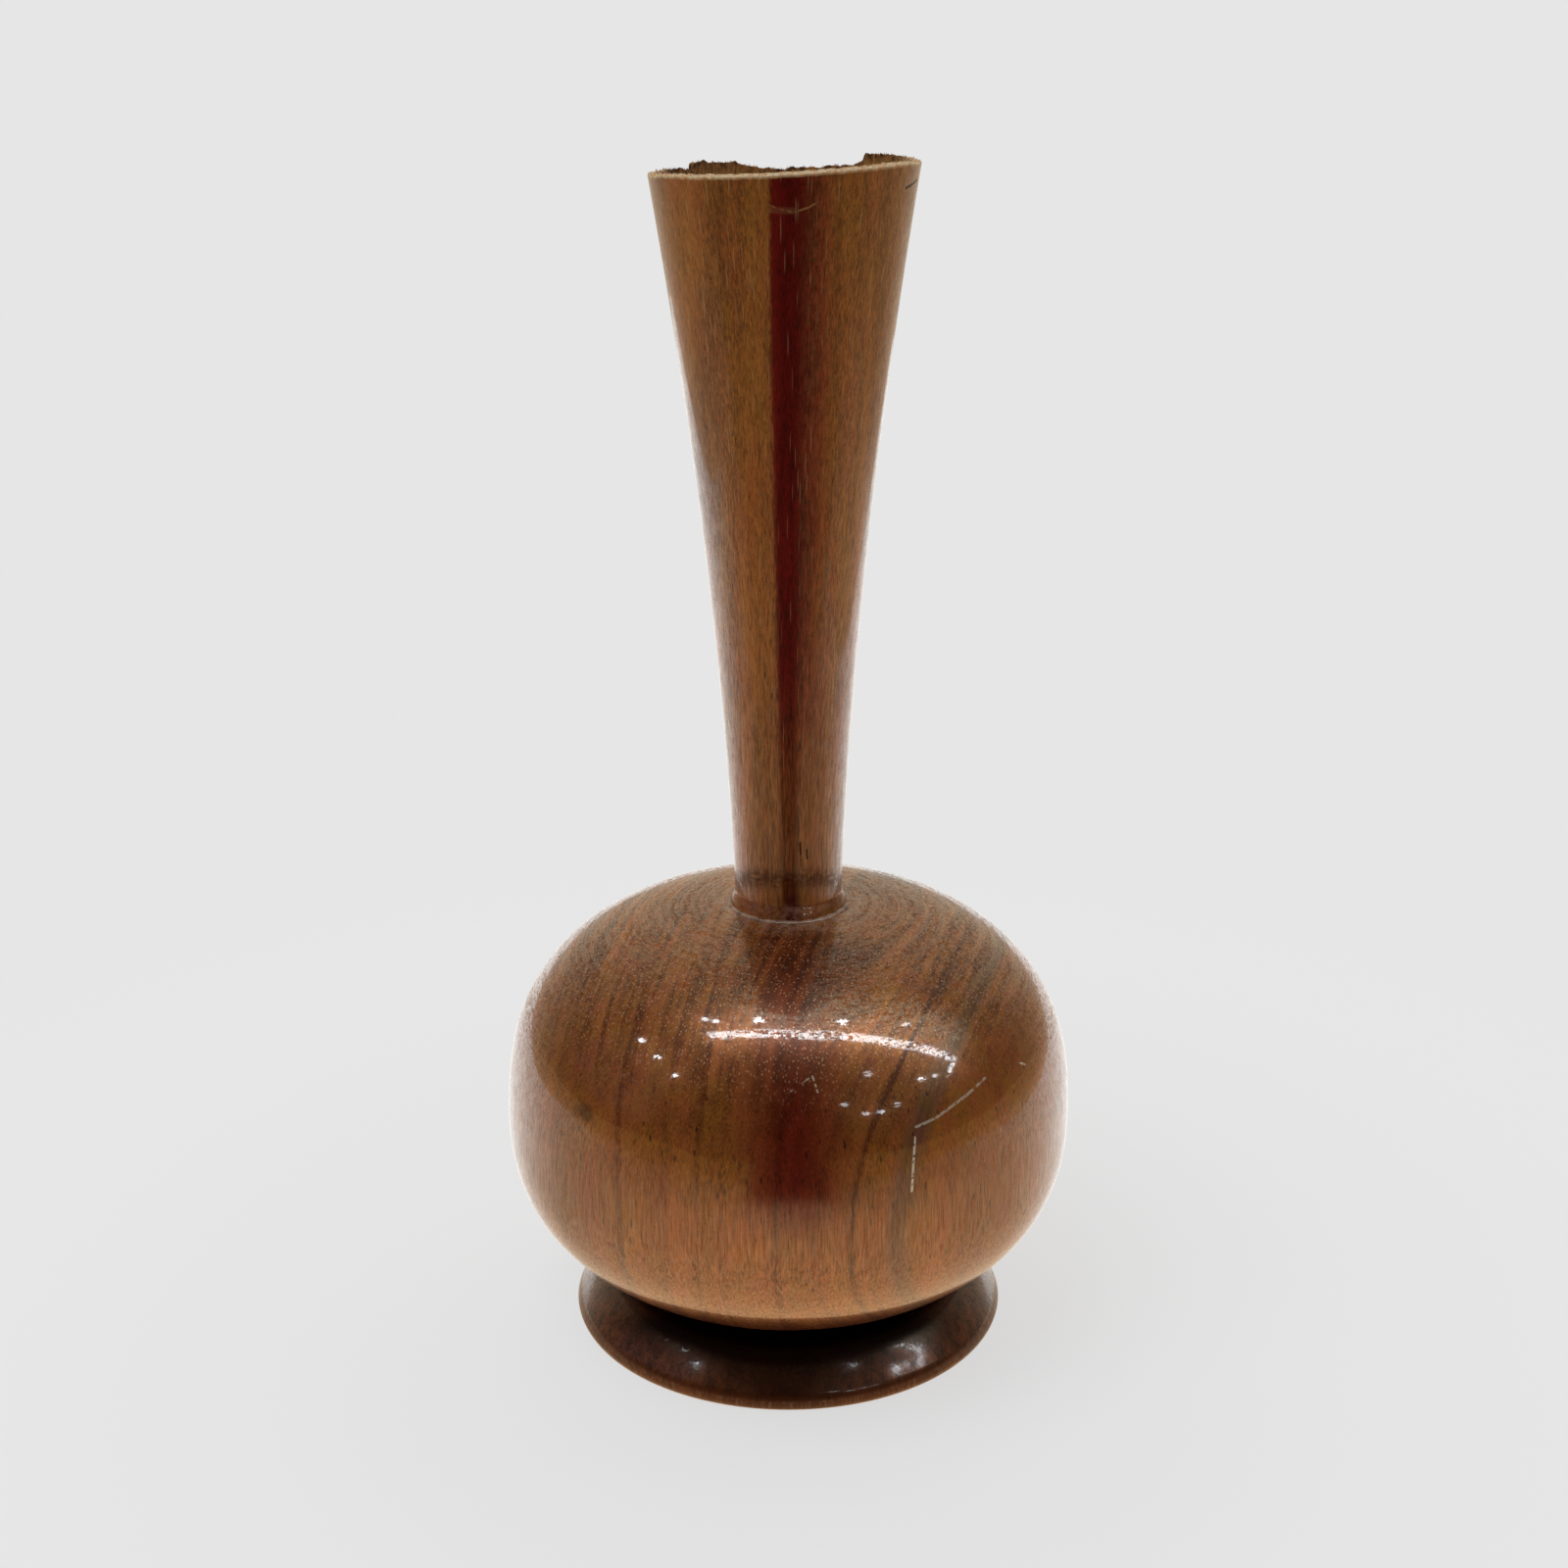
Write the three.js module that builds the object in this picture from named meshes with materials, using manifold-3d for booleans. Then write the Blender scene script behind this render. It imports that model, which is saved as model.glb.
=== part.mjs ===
// Bud vase turned from hardwood: a thin flared neck glued into a hollow globe on a bevelled foot.
// Millimetres, +Z up. The origin is the middle of the ring that the foot stands on.
// The side that faces the viewer in the photograph is -Y, and +X is on its right.

import * as THREE from 'three';
import { mergeVertices } from 'three/addons/utils/BufferGeometryUtils.js';
import Module from 'manifold-3d';

// Foot sizes
const footRadius = 37.9;
const footHeight = 9;
const lipHeight = 2.8;
const lipRound = 1;
const bevelWidth = 6.8;
const bevelSteepness = 53;
const bevelLead = 4.6;
const crestLead = 1.9;
const crestDrop = 0.4;
const coveCrestLead = 3.4;
const coveSeatLead = 2.3;
const covePull = 3.8;
const seatMargin = 1;
const standRingWidth = 7;
const recessDepth = 1.6;
const spigotRadius = 14;
const spigotLength = 8;
const spigotChamfer = 0.8;

// Globe sizes
const globeRadius = 48.9;
const globeLowerHeight = 30.3;
const globeUpperHeight = 37.7;
const globeLowerFullness = 2.4;
const globeUpperFullness = 2.54;
const globeBottomLandRadius = 22;
const globeWall = 7;

// Neck sizes
const neckHeight = 123;
const neckBaseRadius = 9;
const neckRimRadius = 21.8;
const neckBaseWall = 2.15;
const neckRimWall = 1.3;
const neckStraightShare = 0.25;
const neckFlarePower = 1.8;
const tenonShoulder = 0.5;
const tenonLength = 9;
const beadHeight = 3;
const beadProud = 0.8;
const beadTuck = 0.3;
const beadTaper = 1.5;

// Glue collar sizes
const glueWidth = 0.75;
const glueHeight = 0.95;
const glueEdge = 0.12;
const glueFullness = 0.8;
const glueLump = 0.12;
const landMargin = 0.5;

// Clearances
const jointClearance = 0.2;
const glueClearance = 0.05;

// Broken rim: the line of the break around the neck, measured from the nominal rim
const breakTiltAcross = 1.25;
const breakTiltBack = 0.4;
const breakSlant = 0.5;
const breakRagged = 0.07;
const breakReach = 9;
const spareHeight = 4;
// Each point is an angle in degrees from the front, turning to the right, and a height in mm.
const chippedBack = [
  [139, 0],
  [140.5, -1.25],
  [146, -1.7],
  [160, -2.05],
  [182, -2],
  [188, -1.85],
  [194, -1.4],
  [200, -0.8],
  [208, -0.3],
  [217, 0],
  [226, 0.28],
  [227, -0.85],
  [241, -0.25],
  [262, 0],
];

// Facets
const turnSegments = 64;
const breakSegments = 168;
const globeOuterSteps = 12;
const globeInnerSteps = 7;
const neckOuterSteps = 13;
const neckInnerSteps = 8;
const beadSteps = 6;
const bevelSteps = 7;
const coveSteps = 6;
const lipSteps = 4;
const glueSteps = 5;

// Heights and radii that follow from the sizes
const globeBottom = footHeight;
const equatorHeight = globeBottom + globeLowerHeight;
const globeTop = equatorHeight + globeUpperHeight;
const seatRadius = globeBottomLandRadius + seatMargin;
const ridgeRadius = footRadius - lipRound / 2;
const crestRadius = ridgeRadius - bevelWidth;
const crestHeight = footHeight - crestDrop;
const spigotHoleRadius = spigotRadius + jointClearance;
const tenonRadius = neckBaseRadius - tenonShoulder;
const socketRadius = tenonRadius + jointClearance;
const boreRadius = neckBaseRadius - neckBaseWall;
const nominalRim = globeTop + neckHeight;
const blankTop = nominalRim + spareHeight;
const glueInnerRadius = neckBaseRadius + beadProud + glueClearance;
const globeTopLandRadius = glueInnerRadius + glueWidth + glueLump + landMargin;

const point = (radius, height) => new THREE.Vector2(radius, height);

const wasm = await Module();
wasm.setup();

// A closed profile of radius and height, counter-clockwise, turned about the vertical axis
function turned(profile, segments = turnSegments) {
  const geometry = new THREE.LatheGeometry(profile, segments);
  geometry.rotateX(Math.PI / 2);
  geometry.deleteAttribute('normal');
  geometry.deleteAttribute('uv');
  return mergeVertices(geometry, 1e-4);
}

// Moves each vertex of a turned geometry by a rule of its angle from the front, radius and height
function reshaped(geometry, rule) {
  const positions = geometry.attributes.position;
  for (let i = 0; i < positions.count; i += 1) {
    const x = positions.getX(i);
    const y = positions.getY(i);
    const angle = Math.atan2(x, -y);
    const [radius, height] = rule(angle, Math.hypot(x, y), positions.getZ(i));
    positions.setXYZ(i, radius * Math.sin(angle), -radius * Math.cos(angle), height);
  }
  return geometry;
}

function toSolid(geometry) {
  const vertProperties = new Float32Array(geometry.attributes.position.array);
  const triVerts = new Uint32Array(geometry.index.array);
  return new wasm.Manifold(new wasm.Mesh({ numProp: 3, vertProperties, triVerts }));
}

function toGeometry(solid) {
  const mesh = solid.getMesh();
  const geometry = new THREE.BufferGeometry();
  geometry.setAttribute('position', new THREE.BufferAttribute(mesh.vertProperties, 3));
  geometry.setIndex(new THREE.BufferAttribute(mesh.triVerts, 1));
  return geometry;
}

// Foot: a stand ring with a hollowed underside, a rounded lip, a bevel, a cove and a spigot
function footProfile() {
  const standOuter = footRadius - lipRound;
  const standInner = standOuter - standRingWidth;
  const profile = [
    point(0, recessDepth),
    point(standInner - recessDepth, recessDepth),
    point(standInner, 0),
    point(standOuter, 0),
  ];
  for (let i = 1; i <= lipSteps; i += 1) {
    const turn = (i / lipSteps) * (Math.PI / 2);
    const middle = lipHeight / 2;
    profile.push(point(standOuter + lipRound * Math.sin(turn), middle * (1 - Math.cos(turn))));
  }
  const steep = THREE.MathUtils.degToRad(bevelSteepness);
  const bevel = new THREE.CubicBezierCurve(
    point(ridgeRadius, lipHeight),
    point(ridgeRadius - bevelLead * Math.cos(steep), lipHeight + bevelLead * Math.sin(steep)),
    point(crestRadius + crestLead, crestHeight),
    point(crestRadius, crestHeight),
  );
  profile.push(...bevel.getPoints(bevelSteps));
  const cove = new THREE.CubicBezierCurve(
    point(crestRadius, crestHeight),
    point(crestRadius - coveCrestLead, crestHeight),
    point(seatRadius + coveSeatLead, footHeight - covePull),
    point(seatRadius, footHeight),
  );
  profile.push(...cove.getPoints(coveSteps).slice(1));
  const spigotTop = footHeight + spigotLength;
  profile.push(
    point(spigotRadius, footHeight),
    point(spigotRadius, spigotTop - spigotChamfer),
    point(spigotRadius - spigotChamfer, spigotTop),
    point(0, spigotTop),
  );
  return profile;
}

// One half of the globe's outline, from one radius to another, in even turns about its middle. A
// fullness of 2 is an ellipse, and more is fuller. The side is 1 above the equator and -1 below it.
function globeArc(fromRadius, toRadius, fullRadius, fullHeight, fullness, side, steps) {
  const turnAt = (radius) => {
    const height = fullHeight * (1 - (radius / fullRadius) ** fullness) ** (1 / fullness);
    return Math.atan2(height, radius);
  };
  const from = turnAt(fromRadius);
  const to = turnAt(toRadius);
  const arc = [];
  for (let i = 0; i <= steps; i += 1) {
    const turn = THREE.MathUtils.lerp(from, to, i / steps);
    const across = Math.cos(turn);
    const along = Math.sin(turn);
    const pull = (across / fullRadius) ** fullness + (along / fullHeight) ** fullness;
    const reach = pull ** (-1 / fullness);
    arc.push(point(reach * across, equatorHeight + side * reach * along));
  }
  return arc;
}

// The half height of the whole outline whose land, at its own radius, lies at the given height
function fullHeightFor(landHeight, landRadius, fullness) {
  return landHeight / (1 - (landRadius / globeRadius) ** fullness) ** (1 / fullness);
}

// Globe: a hollow turned shell with a hole for the neck above and one for the foot below
function globeProfile() {
  const lower = fullHeightFor(globeLowerHeight, globeBottomLandRadius, globeLowerFullness);
  const upper = fullHeightFor(globeUpperHeight, globeTopLandRadius, globeUpperFullness);
  const innerRadius = globeRadius - globeWall;
  const below = [globeLowerFullness, -1];
  const above = [globeUpperFullness, 1];
  const outside = [
    ...globeArc(globeBottomLandRadius, globeRadius, globeRadius, lower, ...below, globeOuterSteps),
    ...globeArc(globeRadius, globeTopLandRadius, globeRadius, upper, ...above, globeOuterSteps).slice(1),
  ];
  const inside = [
    ...globeArc(socketRadius, innerRadius, innerRadius, upper - globeWall, ...above, globeInnerSteps),
    ...globeArc(innerRadius, spigotHoleRadius, innerRadius, lower - globeWall, ...below, globeInnerSteps)
      .slice(1),
  ];
  const start = point(spigotHoleRadius, globeBottom);
  return [start, ...outside, point(socketRadius, globeTop), ...inside, start.clone()];
}

// Outer radius of the neck at a share of its height, from 0 at the globe to 1 at the rim
function neckRadiusAt(share) {
  const rise = neckStraightShare * share + (1 - neckStraightShare) * share ** neckFlarePower;
  return neckBaseRadius + (neckRimRadius - neckBaseRadius) * rise;
}

function neckWallAt(share) {
  return THREE.MathUtils.lerp(neckBaseWall, neckRimWall, share);
}

// How far the bead at the foot of the neck stands out, from 0 at its seat to 1 at its top
function beadAt(share) {
  return beadProud * Math.sin(Math.PI * THREE.MathUtils.lerp(beadTuck, 1, share)) ** beadTaper;
}

// Neck blank: a flared tube with a bead and a tenon below, taller than the broken neck
function neckBlankProfile() {
  const tenonBottom = globeTop - tenonLength;
  const start = point(boreRadius, tenonBottom);
  const profile = [start, point(tenonRadius, tenonBottom), point(tenonRadius, globeTop)];
  for (let i = 0; i < beadSteps; i += 1) {
    const share = i / beadSteps;
    const height = share * beadHeight;
    profile.push(point(neckRadiusAt(height / neckHeight) + beadAt(share), globeTop + height));
  }
  const topShare = (blankTop - globeTop) / neckHeight;
  const beadShare = beadHeight / neckHeight;
  for (let i = 0; i <= neckOuterSteps; i += 1) {
    const share = THREE.MathUtils.lerp(beadShare, topShare, i / neckOuterSteps);
    profile.push(point(neckRadiusAt(share), globeTop + share * neckHeight));
  }
  for (let i = neckInnerSteps; i >= 0; i -= 1) {
    const share = topShare * (i / neckInnerSteps);
    profile.push(point(neckRadiusAt(share) - neckWallAt(share), globeTop + share * neckHeight));
  }
  profile.push(start.clone());
  return profile;
}

// Height of the chipped back of the rim at an angle in degrees, straight between its points
function chipAt(degrees) {
  for (let i = 1; i < chippedBack.length; i += 1) {
    const [a0, h0] = chippedBack[i - 1];
    const [a1, h1] = chippedBack[i];
    if (degrees >= a0 && degrees <= a1) {
      return THREE.MathUtils.mapLinear(degrees, a0, a1, h0, h1);
    }
  }
  return 0;
}

// Height of the break above the nominal rim: a tilt, the chipped back and torn fibres
function breakHeight(angle) {
  const tilt = breakTiltAcross * Math.sin(angle) - breakTiltBack * (1 - Math.cos(angle));
  const degrees = THREE.MathUtils.euclideanModulo(THREE.MathUtils.radToDeg(angle), 360);
  const fibres = Math.sin(23 * angle + 1.3) + Math.sin(41 * angle + 0.7) + Math.sin(67 * angle + 2.1);
  return tilt + chipAt(degrees) + breakRagged * fibres;
}

// The wood that has broken away: a ring whose underside is the break, a little lower outside
function brokenWood() {
  const inner = neckRimRadius - breakReach;
  const outer = neckRimRadius + breakReach;
  const top = blankTop + spareHeight;
  const ring = turned([
    point(inner, nominalRim),
    point(outer, nominalRim),
    point(outer, top),
    point(inner, top),
    point(inner, nominalRim),
  ], breakSegments);
  const slope = breakSlant / neckRimWall;
  const edge = neckRimRadius - neckRimWall;
  return reshaped(ring, (angle, radius, height) => {
    if (height > blankTop) return [radius, height];
    return [radius, nominalRim + breakHeight(angle) - slope * (radius - edge)];
  });
}

function neckGeometry() {
  const blank = toSolid(turned(neckBlankProfile()));
  const broken = toSolid(brokenWood());
  return toGeometry(blank.subtract(broken));
}

// Glue collar: the lumpy ring squeezed out of the joint between the neck's bead and the globe
function glueGeometry() {
  const profile = [point(glueInnerRadius, globeTop)];
  for (let i = 0; i < glueSteps; i += 1) {
    const turn = (i / (glueSteps - 1)) * (Math.PI / 2);
    const out = glueEdge + (glueWidth - glueEdge) * Math.abs(Math.cos(turn)) ** glueFullness;
    profile.push(point(glueInnerRadius + out, globeTop + glueHeight * Math.sin(turn)));
  }
  profile.push(point(glueInnerRadius, globeTop + glueHeight));
  profile.push(point(glueInnerRadius, globeTop));
  return reshaped(turned(profile), (angle, radius, height) => {
    const waves = Math.sin(5 * angle + 0.4) + Math.sin(13 * angle + 2) + Math.sin(21 * angle);
    const share = (radius - glueInnerRadius) / glueWidth;
    return [radius + glueLump * share * (waves / 3), height];
  });
}

// Finishes
function finish(color, roughness) {
  return new THREE.MeshStandardMaterial({ color, roughness, metalness: 0 });
}

const neckWood = finish(0x7a4a26, 0.35);
const globeWood = finish(0x6e3c26, 0.2);
const footWood = finish(0x4c2a1c, 0.25);
const driedGlue = finish(0x8a6a50, 0.15);

// The assembly
const group = new THREE.Group();

function addPiece(name, geometry, material) {
  const mesh = new THREE.Mesh(geometry, material);
  mesh.name = name;
  group.add(mesh);
}

addPiece('foot', turned(footProfile()), footWood);
addPiece('globe', turned(globeProfile()), globeWood);
addPiece('neck', neckGeometry(), neckWood);
addPiece('glue_collar', glueGeometry(), driedGlue);

export default group;
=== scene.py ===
# %% [markdown]
# # A turned wooden bud vase
# The vase is four pieces of work from a lathe: a thin flared neck, a hollow globe, a disc foot, and a
# ring of glue that was squeezed out of the joint under the neck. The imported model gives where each
# piece stands. This script makes the same pieces again with finer curves, a torn rim and real finishes.

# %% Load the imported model
import math

import bmesh
import bpy
import numpy as np
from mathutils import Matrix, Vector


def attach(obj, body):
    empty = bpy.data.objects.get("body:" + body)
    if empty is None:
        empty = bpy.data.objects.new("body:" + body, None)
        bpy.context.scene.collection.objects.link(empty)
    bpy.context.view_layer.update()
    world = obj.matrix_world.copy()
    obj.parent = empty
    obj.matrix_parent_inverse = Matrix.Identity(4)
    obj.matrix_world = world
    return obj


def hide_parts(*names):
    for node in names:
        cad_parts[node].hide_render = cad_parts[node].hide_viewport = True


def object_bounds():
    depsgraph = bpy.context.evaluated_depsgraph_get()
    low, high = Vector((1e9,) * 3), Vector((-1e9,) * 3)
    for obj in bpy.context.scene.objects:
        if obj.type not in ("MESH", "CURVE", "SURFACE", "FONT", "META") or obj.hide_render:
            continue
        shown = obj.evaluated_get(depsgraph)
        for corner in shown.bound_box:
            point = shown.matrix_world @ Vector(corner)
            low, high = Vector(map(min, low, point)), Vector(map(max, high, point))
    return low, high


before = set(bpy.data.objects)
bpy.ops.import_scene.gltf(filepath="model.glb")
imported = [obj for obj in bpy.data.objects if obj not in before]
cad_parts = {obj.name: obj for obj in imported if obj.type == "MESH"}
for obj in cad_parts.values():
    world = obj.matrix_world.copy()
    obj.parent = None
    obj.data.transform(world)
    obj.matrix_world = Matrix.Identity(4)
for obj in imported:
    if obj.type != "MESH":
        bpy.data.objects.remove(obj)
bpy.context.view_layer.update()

MM = 0.001
print("solid pieces:", sorted(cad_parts))

# %% [markdown]
# ## The camera
# The photograph was taken from close by, 0.4 m away and looking down 20 degrees, so the mouth shows as
# an ellipse and the foot looks smaller than it is. A camera at the same place gives the same
# foreshortening, which no crop or zoom can give later. The lens is 57 mm on a 36 mm sensor.

# %% Camera
PICTURE = 1600
FOCAL_PIXELS = 2554.5
SENSOR = 36
CAMERA_PLACE = (0, -0.3971, 0.23914)
LOOK_DOWN = 19.56
TURN_LEFT = 0.11

scene = bpy.context.scene


def put(name, data):
    """A new object in the scene."""
    made = bpy.data.objects.new(name, data)
    scene.collection.objects.link(made)
    return made


camera = scene.camera = put("camera", bpy.data.cameras.new("camera"))
camera.data.sensor_width = SENSOR
camera.data.lens = FOCAL_PIXELS / PICTURE * SENSOR
camera.data.clip_start = 0.01
camera.location = CAMERA_PLACE
camera.rotation_euler = (math.radians(90 - LOOK_DOWN), 0, math.radians(TURN_LEFT))
print("lens in mm:", round(camera.data.lens, 2))

# %% [markdown]
# ## Sums in node trees
# Wood is drawn with many small sums on coordinates. Wiring Math nodes by hand is slow to write and hard
# to read, so a `Wire` stands for one output of a node, and `a * 2 + b` on wires adds the Math nodes.
# The same two classes serve materials and Geometry Nodes.


# %% Wires and trees
class Wire:
    """A value in a node tree. A sum on it adds Math nodes."""

    def __init__(self, tree, socket):
        self.tree = tree
        self.socket = socket

    def out(self, name):
        """Another output of the same node."""
        return Wire(self.tree, self.socket.node.outputs[name])

    def __abs__(self):
        return self.tree.math("ABSOLUTE", self)


def give_sum(name, operation):
    """Lets a wire stand on either side of one of Python's signs."""
    setattr(Wire, f"__{name}__", lambda wire, other: wire.tree.math(operation, wire, other))
    setattr(Wire, f"__r{name}__", lambda wire, other: wire.tree.math(operation, other, wire))


for name, operation in [
    ("add", "ADD"), ("sub", "SUBTRACT"), ("mul", "MULTIPLY"), ("truediv", "DIVIDE"), ("pow", "POWER")
]:
    give_sum(name, operation)


class Tree:
    """Adds nodes to a node tree, each with its settings first and then its inputs. A colour is given as
    three numbers."""

    def __init__(self, tree):
        self.tree = tree

    def add(self, kind, settings=None, inputs=None, output=0):
        node = self.tree.nodes.new(kind)
        for name, value in (settings or {}).items():
            setattr(node, name, value)
        for name, value in (inputs or {}).items():
            if isinstance(value, Wire):
                self.tree.links.new(value.socket, node.inputs[name])
            else:
                socket = node.inputs[name]
                socket.default_value = (*value, 1) if socket.type == "RGBA" else value
        return Wire(self, node.outputs[output]) if len(node.outputs) else node

    def math(self, operation, *values):
        return self.add("ShaderNodeMath", {"operation": operation}, dict(enumerate(values)))

    def most(self, *values):
        """The greatest of several values."""
        whole = values[0]
        for value in values[1:]:
            whole = self.math("MAXIMUM", whole, value)
        return whole

    def vector(self, operation, *values, output=0):
        settings = {"operation": operation}
        return self.add("ShaderNodeVectorMath", settings, dict(enumerate(values)), output)

    def join(self, x, y, z):
        return self.add("ShaderNodeCombineXYZ", inputs={0: x, 1: y, 2: z})

    def split(self, vector):
        parts = self.add("ShaderNodeSeparateXYZ", inputs={0: vector})
        return parts, parts.out("Y"), parts.out("Z")

    def store(self, name, geometry, value):
        """Keeps a value for each point under a name."""
        return self.add("GeometryNodeStoreNamedAttribute", {"data_type": "FLOAT", "domain": "POINT"},
                        {"Geometry": geometry, "Name": name, "Value": value})

    def blend(self, share, first, second):
        """Two shaders, the second by the given share."""
        return self.add("ShaderNodeMixShader", inputs={0: share, 1: first, 2: second})


# %% [markdown]
# ## The lathe
# A turned piece is one outline swept around an axis, just as the gouge follows one line while the wood
# spins. The Screw or Spin tool could do this, but a Geometry Nodes lathe is a rule with named inputs:
# it lays a grid with one row for each point of the outline and one column for each step around, then
# wraps the grid round the axis. Merging by distance closes the seam and the poles.


# %% Lathe tree
def new_group(name, result, sockets):
    """A Geometry Nodes tree with named inputs, and its input node."""
    group = bpy.data.node_groups.new(name, "GeometryNodeTree")
    for label, kind in sockets.items():
        group.interface.new_socket(label, in_out="INPUT", socket_type="NodeSocket" + kind)
    group.interface.new_socket(result, in_out="OUTPUT", socket_type="NodeSocketGeometry")
    tree = Tree(group)
    return tree, tree.add("NodeGroupInput")


def lathe_tree():
    sockets = {"Outline": "Geometry", "Steps": "Int", "Crease": "Float", "Finish": "Material"}
    tree, given = new_group("lathe", "Turned", sockets)
    outline, steps = given.out("Outline"), given.out("Steps")
    rows = tree.add("GeometryNodeAttributeDomainSize", {"component": "MESH"}, {0: outline})
    sizes = {"Size X": 1, "Size Y": 1, "Vertices X": steps + 1, "Vertices Y": rows}
    sheet = tree.add("GeometryNodeMeshGrid", inputs=sizes)
    index = tree.add("GeometryNodeInputIndex")
    row = tree.math("FLOORED_MODULO", index, rows)
    column = tree.math("FLOOR", index / rows)
    position = tree.add("GeometryNodeInputPosition")
    sampled = tree.add("GeometryNodeSampleIndex", {"data_type": "FLOAT_VECTOR", "domain": "POINT"},
                       {"Geometry": outline, "Value": position, "Index": row})
    radius, _, height = tree.split(sampled)
    angle = column * (2 * math.pi) / steps
    place = tree.join(radius * tree.math("SINE", angle), radius * tree.math("COSINE", angle) * -1, height)
    wrapped = tree.add("GeometryNodeSetPosition", inputs={"Geometry": sheet, "Position": place})
    marked = tree.store("row", wrapped, row)
    closed = tree.add("GeometryNodeMergeByDistance", inputs={"Geometry": marked, "Distance": 0.002 * MM})
    smooth = tree.add("GeometryNodeSetShadeSmooth", {"domain": "FACE"}, {"Geometry": closed})
    bend = tree.add("GeometryNodeInputMeshEdgeAngle")
    sharp = tree.math("GREATER_THAN", bend, given.out("Crease"))
    creased = tree.add("GeometryNodeSetShadeSmooth", {"domain": "EDGE"},
                       {"Geometry": smooth, "Selection": sharp, "Shade Smooth": False})
    finish = given.out("Finish")
    finished = tree.add("GeometryNodeSetMaterial", inputs={"Geometry": creased, "Material": finish})
    tree.add("NodeGroupOutput", inputs={"Turned": finished})
    return tree.tree


lathe = lathe_tree()
print("lathe inputs:", lathe.nodes["Group Input"].outputs.keys()[:-1])


# %% [markdown]
# A piece starts as a bare outline in the lathe's plane. The modifier's inputs are set before it is first
# evaluated, and its result is then kept as a plain mesh, so that the finished piece has no modifier.


# %% Turn a piece
def run_tree(piece, group, values):
    """Runs a Geometry Nodes tree on a piece, and keeps what it makes as the piece's own mesh."""
    modifier = piece.modifiers.new(group.name, "NODES")
    modifier.node_group = group
    for socket in group.interface.items_tree:
        if socket.name in values:
            modifier[socket.identifier] = values[socket.name]
    graph = bpy.context.evaluated_depsgraph_get()
    made = bpy.data.meshes.new_from_object(
        piece.evaluated_get(graph), preserve_all_data_layers=True, depsgraph=graph
    )
    made.name = piece.name
    piece.modifiers.clear()
    piece.data = made
    print(piece.name, "has", len(made.polygons), "faces")


def turn(name, outline, finish, steps=256, crease=35):
    """A piece turned from an outline of radii and heights in mm, counter-clockwise."""
    line = bpy.data.meshes.new(name)
    points = [(radius * MM, 0, height * MM) for radius, height in outline]
    line.from_pydata(points, [(i, i + 1) for i in range(len(points) - 1)], [])
    piece = put(name, line)
    run_tree(piece, lathe, {"Steps": steps, "Crease": math.radians(crease), "Finish": finish})
    return piece


def places(mesh):
    """The points of a mesh as an array."""
    flat = np.empty(len(mesh.vertices) * 3, np.float32)
    mesh.vertices.foreach_get("co", flat)
    return flat.reshape(-1, 3).astype(float)


def point_rows(mesh):
    """The point of the outline from which the lathe made each point."""
    rows = np.empty(len(mesh.vertices), np.float32)
    mesh.attributes["row"].data.foreach_get("value", rows)
    return np.rint(rows).astype(int)


def reshape(piece, rule):
    """Moves each point by a rule of its angle from the front, radius and height in mm, and row."""
    mesh = piece.data
    points = places(mesh) / MM
    angle = np.arctan2(points[:, 0], -points[:, 1])
    radius = np.hypot(points[:, 0], points[:, 1])
    radius, height, shift = rule(angle, radius, points[:, 2], point_rows(mesh))
    moved = np.stack([radius * np.sin(angle) + shift, -radius * np.cos(angle), height], axis=1) * MM
    mesh.vertices.foreach_set("co", moved.astype(np.float32).ravel())
    mesh.update()


def bezier(start, first, second, end, steps):
    """Points on a curve between two points, after the start."""
    share = np.linspace(0, 1, steps + 1)[1:, None]
    corners = [np.array(corner, float) for corner in (start, first, second, end)]
    weights = [(1 - share) ** 3, 3 * share * (1 - share) ** 2, 3 * share**2 * (1 - share), share**3]
    return [tuple(point) for point in sum(w * c for w, c in zip(weights, corners))]


# %% [markdown]
# ## Lacquered wood
# Real wood is a bundle of fibres that all run one way, here up the vase, cut by growth rings that stand
# like sheets. If the pattern lives in space and not on the surface, the lathe cuts through it as a gouge
# does: long lines on the sides, and specks where it meets the ends of the fibres on top of the globe.
# So each pattern reads Object coordinates, stretched along the grain, and no image is needed.


# %% Wood helpers
def srgb(red, green, blue):
    """A colour as a paint program gives it, from 0 to 255, as the plain light that Blender sums."""
    parts = [value / 255 for value in (red, green, blue)]
    return tuple(p / 12.92 if p <= 0.04045 else ((p + 0.055) / 1.055) ** 2.4 for p in parts)


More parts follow.
